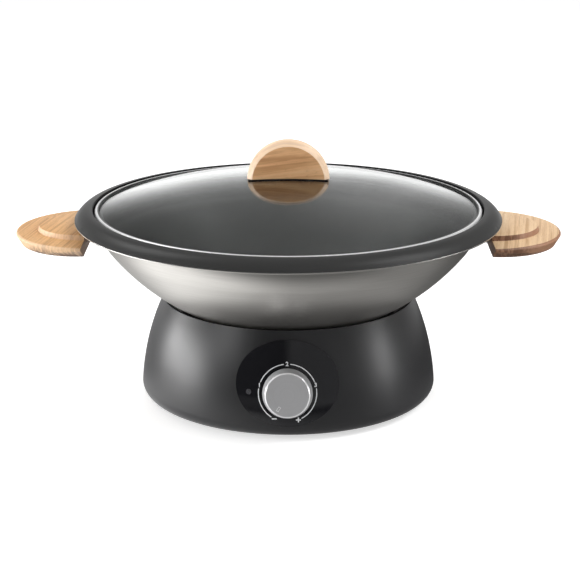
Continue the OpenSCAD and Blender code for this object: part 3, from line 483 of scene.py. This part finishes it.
def beech(name, turn, shift, tones, face, painted_edge_tone, painted_edge_share, end_share, inner=None):
    """Beech: growth bands, fine pores along the grain, short ray flecks and darker cut ends.

    turn lays the grain, which runs along local X, into the piece. face is the axis that its broad
    faces look along. The edges between them take the given edge tone by its share: pale edges are
    paler side grain with a painted highlight, brown edges are painted shade. Where they cut the grain
    they darken by end_share, given at ENDS_LOW and at ENDS_HIGH. inner is the side, 1 or -1 along X,
    whose face takes a painted shade.
    """
    light, mid, dark = tones
    paint = new_paint(name)
    place = paint.mapped(paint.place(), turn=turn, shift=shift)
    height = paint.node("ShaderNodeSeparateXYZ", None, [paint.place()]).side("Z")
    sway = paint.noise(paint.mapped(place, scale=SWAY_MARKS), scale=1, detail=3)
    bands = paint.noise(paint.mapped(place, scale=BAND_MARKS), scale=1, detail=4, rough=0.55,
                        distortion=0.5)
    pores = paint.noise(paint.mapped(place, scale=PORE_MARKS), scale=1, detail=3, rough=0.6)
    flecks = paint.noise(paint.mapped(place, scale=FLECK_MARKS), scale=1, detail=1, rough=0.4)
    normal = paint.node("ShaderNodeNewGeometry").side("True Normal")
    towards = paint.node("ShaderNodeSeparateXYZ", None, [normal])
    broad = towards.side(face)
    flatness = broad * broad
    edge = paint.spread(flatness, 0.950, 0.985, 1.0, 0.0)
    along = paint.node("ShaderNodeSeparateXYZ", None, [paint.mapped(normal, turn=turn)])
    end_on = along.maths("DIVIDE", along * along, 1.02 - flatness)
    cut_end = paint.spread(end_on, 0.45, 0.75, 0.0, edge)
    growth = paint.spread(bands + sway * 0.5, 0.55, 0.95, 0.0, 1.0)
    wood = paint.ramp(growth, [(0.0, dark), (0.42, mid), (1.0, light)])
    pored = paint.blend(paint.spread(pores, 0.52, 0.72, 0.0, 0.5), wood, (*dark, 1))
    fleck_tone = (*[part * 0.72 for part in dark], 1)
    flecked = paint.blend(paint.spread(flecks, 0.66, 0.74, 0.0, 0.35), pored, fleck_tone)
    # Painted light on the edges: a painted highlight on pale edges, painted shade on brown ones
    edge_painted = paint.blend(edge * painted_edge_share, flecked, painted_edge_tone)
    ending = paint.spread(height, ENDS_LOW, ENDS_HIGH, *end_share)
    streaks = paint.spread(bands, 0.47, 0.56, 1.0, 0.35) * ending
    ended = paint.blend(cut_end * streaks, edge_painted, END_TONE)
    if inner:
        # Painted shade on the inner face that looks to the bowl
        inner_shade_mask = paint.spread(towards.side("X") * inner, 0.7, 0.9, 0.0, 0.85)
        ended = paint.blend(inner_shade_mask, ended, INNER_FACE_SHADE)
    return paint.skin({
        "Base Color": ended,
        "Roughness": paint.spread(pores, 0.3, 0.7, 0.42, 0.56),
        "Coat Weight": 0.1,
        "Coat Roughness": 0.35,
    }, pores * 0.7 + bands * 0.3, WOOD_RELIEF)


def printing_ink():
    """Pale printed ink, slightly uneven."""
    paint = new_paint("printing_ink")
    grain = paint.noise(paint.place(), scale=3000, detail=2)
    return paint.skin({
        "Base Color": paint.blend(grain, (0.84, 0.85, 0.87, 1), (0.93, 0.94, 0.95, 1)),
        "Roughness": paint.spread(grain, 0.3, 0.7, 0.4, 0.5),
    })


def smoked_lens():
    """Dark translucent-looking plastic, slightly cloudy."""
    paint = new_paint("smoked_lens")
    haze = paint.noise(paint.place(), scale=900, detail=2)
    return paint.skin({
        "Base Color": paint.blend(haze, (0.055, 0.055, 0.06, 1), (0.075, 0.075, 0.08, 1)),
        "Roughness": paint.spread(haze, 0.3, 0.7, 0.22, 0.3),
    })


def dress_frame():
    """Gives every CAD node its finish: name, colour, the shade it drifts to and roughness."""
    black = (0.012, 0.012, 0.013)
    soot = (0.017, 0.017, 0.019)
    screw = plain_metal("screw_steel", BRIGHT_STEEL, MID_STEEL, 0.28)
    spring = plain_metal("spring_steel", MID_STEEL, DULL_STEEL, 0.33)
    blackened = plain_metal("blackened_steel", (0.055, 0.053, 0.05), (0.035, 0.034, 0.033), 0.4)
    ceramic = fired_ceramic("ceramic", (0.74, 0.71, 0.64), (0.66, 0.62, 0.54))
    finishes = {
        "base_shell": moulded_plastic("housing_plastic", black, soot, 0.36, gloss=0.55),
        "base_plate": moulded_plastic("plate_plastic", (0.016, 0.016, 0.017), (0.022, 0.022, 0.023), 0.55),
        "rubber_feet": moulded_plastic("foot_rubber", (0.012, 0.012, 0.012), (0.02, 0.02, 0.02), 0.75),
        "base_screws": screw,
        "fascia_panel": gloss_panel("fascia_gloss"),
        "indicator_lens": smoked_lens(),
        "indicator_lamp": moulded_plastic("lamp_amber", (0.62, 0.20, 0.07), (0.52, 0.15, 0.05), 0.25),
        "thermostat_body": fired_ceramic("thermostat_case", (0.50, 0.46, 0.36), (0.42, 0.38, 0.30)),
        "thermostat_nut": plain_metal("nut_brass", (0.72, 0.55, 0.26), (0.60, 0.44, 0.20), 0.3),
        "sensor_bulb": plain_metal("copper", (0.78, 0.43, 0.29), (0.55, 0.28, 0.18), 0.3),
        "sensor_clip": spring,
        "heating_element": plain_metal("element_sheath", (0.20, 0.185, 0.165), (0.11, 0.10, 0.095), 0.45),
        "element_supports": ceramic,
        "element_bushes": ceramic,
        "element_terminals": plain_metal("terminal_brass", (0.66, 0.56, 0.36), (0.55, 0.45, 0.27), 0.35),
        "reflector_dish": turned_steel("dish_steel", BRIGHT_STEEL, MID_STEEL, 0.24),
        "support_ring": turned_steel("ring_steel", MID_STEEL, DULL_STEEL, 0.32),
        "ring_screws": screw,
        "support_pads": moulded_plastic("pad_silicone", (0.10, 0.10, 0.105), (0.14, 0.14, 0.145), 0.5),
        "terminal_block": fired_ceramic("block_ceramic", (0.78, 0.75, 0.67), (0.68, 0.65, 0.57)),
        "thermal_fuse": fired_ceramic("fuse_ceramic", (0.70, 0.70, 0.66), (0.60, 0.59, 0.55)),
        "fuse_clip": spring,
        "cord_gland": moulded_plastic("gland_rubber", (0.014, 0.014, 0.014), (0.022, 0.022, 0.022), 0.6),
        "internal_leads": moulded_plastic("lead_silicone", (0.50, 0.085, 0.045), (0.42, 0.065, 0.035), 0.45),
        "control_knob": knob_finish(),
        "knob_shaft": plain_metal("shaft_steel", BRIGHT_STEEL, MID_STEEL, 0.25),
        "wok_bowl": bowl_finish(),
        "spreader_disc": turned_steel("disc_steel", MID_STEEL, DULL_STEEL, 0.35),
        "bracket_left": plain_metal("bracket_steel", MID_STEEL, DULL_STEEL, 0.35),
        "bracket_right": plain_metal("bracket_steel_right", MID_STEEL, DULL_STEEL, 0.35),
        "handle_screws": screw,
        "lid_glass": glass_finish(),
        "lid_band": turned_steel("band_steel", (0.97, 0.97, 0.97), (0.91, 0.91, 0.91), 0.36,
                                 metal=0.5, painted_shade_inside=BAND_EDGE_R),
        "grip_pad": moulded_plastic("grip_pad", (0.030, 0.022, 0.018), (0.022, 0.016, 0.013), 0.6),
        "grip_washers": blackened,
        "grip_screws": blackened,
    }
    for name, finish in finishes.items():
        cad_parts[name].material_slots[0].material = finish


# ---- Pieces ----

def placed(name, data):
    """A new object in the scene, at the origin."""
    made = bpy.data.objects.new(name, data)
    bpy.context.scene.collection.objects.link(made)
    return made


def mesh_of(form, name):
    """Ends a form as a mesh."""
    mesh = bpy.data.meshes.new(name)
    form.to_mesh(mesh)
    form.free()
    return mesh


def add_piece(name, mesh, finish, body):
    """Puts a finished mesh in the scene: in place in its mesh, its object at the origin."""
    mesh.materials.clear()
    mesh.materials.append(finish)
    mesh.shade_smooth()
    mesh.set_sharp_from_angle(angle=radians(SHARP_PAST))
    piece = placed(name, mesh)
    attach(piece, body)
    return piece


def lean_in(form):
    """Draws a handle's side in to one straight slope from its upper edge down to its underside."""
    for vert in form.verts:
        side = Vector((abs(vert.co.x) - HANDLE_C, vert.co.y))
        reach = HANDLE_R - (HANDLE_EDGE_Z - vert.co.z) * HANDLE_SLOPE
        if vert.co.z < HANDLE_EDGE_Z and side.length > reach:
            side *= reach / side.length
            vert.co.xy = (side.x + HANDLE_C) * (1 if vert.co.x > 0 else -1), side.y


def softened(node, name, width, shaped=None):
    """A mesh like a CAD node's, with its sharp edges rounded by width."""
    form = bmesh.new()
    form.from_mesh(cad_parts[node].data)
    bmesh.ops.remove_doubles(form, verts=form.verts, dist=0.01 * MM)
    if shaped:
        shaped(form)
    bmesh.ops.dissolve_limit(form, angle_limit=radians(FLAT_WITHIN), verts=form.verts, edges=form.edges)
    edges = [edge for edge in form.edges
             if edge.is_manifold and edge.calc_face_angle() > radians(ROUNDED_PAST)]
    bmesh.ops.bevel(form, geom=edges, offset=width, offset_type="OFFSET", segments=ROUNDING_STEPS,
                    profile=0.5, affect="EDGES", material=-1, clamp_overlap=True)
    mesh = mesh_of(form, name)
    stored_normals = mesh.attributes.get("custom_normal")
    if stored_normals:
        mesh.attributes.remove(stored_normals)
    return mesh


def wooden_pieces():
    """The grip and both handles, drawn again from the CAD's meshes with rounded edges."""
    finish = beech("beech_grip", (0, radians(7), 0), (0.013, 0.0, 0.004), GRIP_TONES, "Y",
                   PALE_GRAIN_AND_HIGHLIGHT, painted_edge_share=0.55, end_share=(0.1, 0.1))
    grip = add_piece("grip_wood", softened("lid_grip", "grip_wood", GRIP_EDGE), finish, "lid")
    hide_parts("lid_grip")
    # The handles differ by painted light: the left's pale edges carry a painted highlight, the right's brown
    # edges a painted shade, and the right's cut ends stay dark above the edge, end grain with painted shade
    for side, turn, tones, painted_edge_tone, painted_edge_share, end_share, inner in (
            ("left", 101, LEFT_SHADED_TONES, PALE_GRAIN_AND_HIGHLIGHT, 0.3, (1.0, 0.0), 1.0),
            ("right", 98, RIGHT_LIT_TONES, BROWN_PAINTED_SHADE, 0.8, (1.0, 0.8), -1.0)):
        finish = beech(f"beech_{side}", (0, 0, radians(turn)), (0.02, 0.05, 0.03), tones, "Z",
                       painted_edge_tone, painted_edge_share, end_share, inner)
        name = f"{side}_handle_wood"
        mesh = softened(f"handle_{side}", name, HANDLE_EDGE, lean_in)
        handle = add_piece(name, mesh, finish, "bowl")
        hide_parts(f"handle_{side}")


def dial_frame():
    """Matrix from the dial's own frame, with +Z out of the wall and +Y up along it, to the object's."""
    turn, place = dial_place()
    return Matrix.Translation(place) @ Matrix.Rotation(turn[0], 4, "X")


def clock(angle):
    """Direction at a clock angle in the dial's frame, from 0 at the top, turning right."""
    return Vector((sin(radians(angle)), cos(radians(angle)), 0))


def scale_arc(form, start, end):
    """Printed line along the scale, between two clock angles."""
    corners = [form.verts.new(clock(start) * (SCALE_R + side * SCALE_LINE / 2)) for side in (-1, 1)]
    edge = form.edges.new(corners)
    steps = max(ARC_LEAST_STEPS, int((end - start) / ARC_STEP))
    bmesh.ops.spin(form, geom=corners + [edge], axis=(0, 0, 1), cent=(0, 0, 0), steps=steps,
                   angle=-radians(end - start))


def bar(form, centre, length, width, turn):
    """Printed bar, turned by a clock angle."""
    matrix = Matrix.Translation(centre) @ Matrix.Rotation(-radians(turn), 4, "Z")
    matrix = matrix @ Matrix.Diagonal((length / 2, width / 2, 1, 1))
    bmesh.ops.create_grid(form, x_segments=3, y_segments=1, size=1, matrix=matrix)


def numeral(form, text, centre):
    """A digit, centred on its place."""
    curve = bpy.data.curves.new("numeral", "FONT")
    curve.body = text
    curve.size = NUMERAL_H / DIGIT_IN_FONT
    curve.offset = NUMERAL_BOLD
    curve.align_x = "CENTER"
    curve.align_y = "CENTER"
    stand_in = placed("numeral", curve)
    evaluated = stand_in.evaluated_get(bpy.context.evaluated_depsgraph_get())
    drawn = bpy.data.meshes.new_from_object(evaluated)
    bpy.data.objects.remove(stand_in)
    drawn.transform(Matrix.Translation(centre))
    form.from_mesh(drawn)


def laid_on(form, node, matrix):
    """Gives flat printing its thickness and lays it on a node's surface, seen along the frame's Z."""
    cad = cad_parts[node].data
    surface = BVHTree.FromPolygons([v.co for v in cad.vertices], [p.vertices for p in cad.polygons])
    inward = -(matrix.to_3x3() @ Vector((0, 0, 1)))
    for vert in form.verts:
        start = matrix @ Vector((vert.co.x, vert.co.y, PRINT_FROM))
        hit = surface.ray_cast(start, inward)[0]
        vert.co = hit - inward * PRINT_LIFT
    bmesh.ops.recalc_face_normals(form, faces=form.faces)
    flipped = [face for face in form.faces if face.normal.dot(inward) > 0]
    bmesh.ops.reverse_faces(form, faces=flipped)
    faces = form.faces[:]
    raised = bmesh.ops.extrude_face_region(form, geom=faces)
    tops = [item for item in raised["geom"] if isinstance(item, bmesh.types.BMVert)]
    bmesh.ops.translate(form, verts=tops, vec=-inward * PRINT_T)
    bmesh.ops.delete(form, geom=faces, context="FACES_ONLY")


def dial_print():
    """Scale round the knob: arcs between the numerals 1 to 3, and the signs at its ends."""
    form = bmesh.new()
    places = [SCALE_START + SCALE_SWEEP * share for share in SCALE_PLACES]
    for start, end in zip(places, places[1:]):
        scale_arc(form, start + NUMERAL_GAP, end - NUMERAL_GAP)
    for digit, place in zip("123", places[1:]):
        numeral(form, digit, clock(place) * SCALE_R)
    for place in (places[0], places[-1]):
        bar(form, clock(place) * SCALE_R, SIGN_L, SIGN_LINE, 0)
    bar(form, clock(places[-1]) * SCALE_R, SIGN_L, SIGN_LINE, 90)
    bmesh.ops.remove_doubles(form, verts=form.verts, dist=0.001 * MM)
    laid_on(form, "fascia_panel", dial_frame())
    add_piece("dial_scale", mesh_of(form, "dial_scale"), printing_ink(), "base")


# ---- Studio ----

def sorted_rays(paint):
    """Whether a ray comes straight from the camera, after a glossy surface or after a matt one."""
    rays = paint.node("ShaderNodeLightPath")
    after_matt = rays.side("Diffuse Depth") > 0.5
    after_glossy = (rays.side("Glossy Depth") > 0.5) * (1.0 - after_matt)
    direct = (1.0 - after_matt) * (1.0 - after_glossy)
    return direct, after_glossy, after_matt


def studio_floor():
    """Near white for the camera. Mirrors see it bright at the left of the object and far behind."""
    form = bmesh.new()
    bmesh.ops.create_grid(form, x_segments=1, y_segments=1, size=FLOOR_HALF)
    mesh = mesh_of(form, "studio_floor")
    floor = placed("studio_floor", mesh)
    paint = new_paint("studio_floor")
    direct, after_glossy = sorted_rays(paint)[:2]
    x = paint.node("ShaderNodeSeparateXYZ", None, [paint.place()])
    y = x.side("Y")
    from_left = paint.spread(x, -0.5, 0.5, 0.0, 1.0)
    lit_side = paint.levels(from_left, FLOOR_ACROSS)
    near = paint.spread(y, -0.33, -0.19, 0.10, 1.15) - paint.spread(y, -0.04, 0.06, 0.0, 0.80)
    beyond = paint.spread(y, 0.35, 0.90, 0.0, 1.0)
    ahead = paint.spread(y, -0.60, -0.34, 0.32, 0.0) * paint.spread(x, -0.1, 0.1, 0.1, 1.0)
    mirror_level = beyond + (1.0 - beyond) * near * lit_side * FLOOR_GAIN + ahead
    matt = paint.node("ShaderNodeBsdfDiffuse", None, {"Color": grey(FLOOR_GREY)})
    lit = paint.node("ShaderNodeEmission", None, {"Color": WHITE, "Strength": direct * FLOOR_GLOW})
    plain = paint.node("ShaderNodeAddShader", None, [matt, lit])
    mirrored = paint.node("ShaderNodeEmission", None, {"Color": WHITE, "Strength": mirror_level})
    surface = paint.node("ShaderNodeMixShader", None, [after_glossy, plain, mirrored])
    paint.node("ShaderNodeOutputMaterial", None, {"Surface": surface})
    mesh.materials.append(paint.owner)


def studio_world():
    """White for the camera. Mirrors see a surround that is bright low behind and dim overhead."""
    world = bpy.data.worlds.new("studio")
    bpy.context.scene.world = world
    paint = Paint(world)
    direct, after_glossy, after_matt = sorted_rays(paint)
    x = paint.node("ShaderNodeSeparateXYZ", None, [paint.node("ShaderNodeTexCoord").side("Generated")])
    y, rise = x.side("Y"), x.side("Z")
    left, right = paint.levels(rise, SKY_LEFT), paint.levels(rise, SKY_RIGHT)
    sky = paint.blend(paint.spread(x, -0.02, 0.10, 0.0, 1.0), left, right)
    sides = paint.spread(x.maths("ABSOLUTE", x), 0.15, 0.28, 1.0, 0.45)
    ahead = paint.spread(x, -0.06, 0.06, 0.03, 0.32)
    to_back = paint.spread(y, -0.6, 0.0, 0.0, 1.0)
    mirror_level = to_back * sky * sides * SKY_GAIN + (1.0 - to_back) * ahead
    fill = paint.spread(y, -0.8, 0.8, 0.32, 0.50)
    glow = paint.node("ShaderNodeBackground", None, {
        "Color": WHITE, "Strength": direct + after_glossy * mirror_level + after_matt * fill})
    paint.node("ShaderNodeOutputWorld", None, {"Surface": glow})


def aimed(holder, at, aim):
    """Sets a lamp or a camera at a place, looking at another."""
    holder.location = at
    holder.rotation_euler = (Vector(at) - aim).to_track_quat("Z", "Y").to_euler()


def studio_lights():
    for name, at, size, power in SOFTBOXES:
        lamp = bpy.data.lights.new(name, "AREA")
        lamp.shape = "RECTANGLE"
        lamp.size, lamp.size_y = size
        lamp.energy = power
        aimed(placed(name, lamp), at, LAMP_AIM)


def studio_camera():
    lens = bpy.data.cameras.new("camera")
    lens.lens = CAMERA_LENS
    lens.shift_x, lens.shift_y = CAMERA_SHIFT
    camera = placed("camera", lens)
    aimed(camera, CAMERA_AT, CAMERA_AIM)
    bpy.context.scene.camera = camera


bpy.context.scene.view_settings.view_transform = "Standard"
dress_frame()
wooden_pieces()
dial_print()
studio_floor()
studio_world()
studio_lights()
studio_camera()
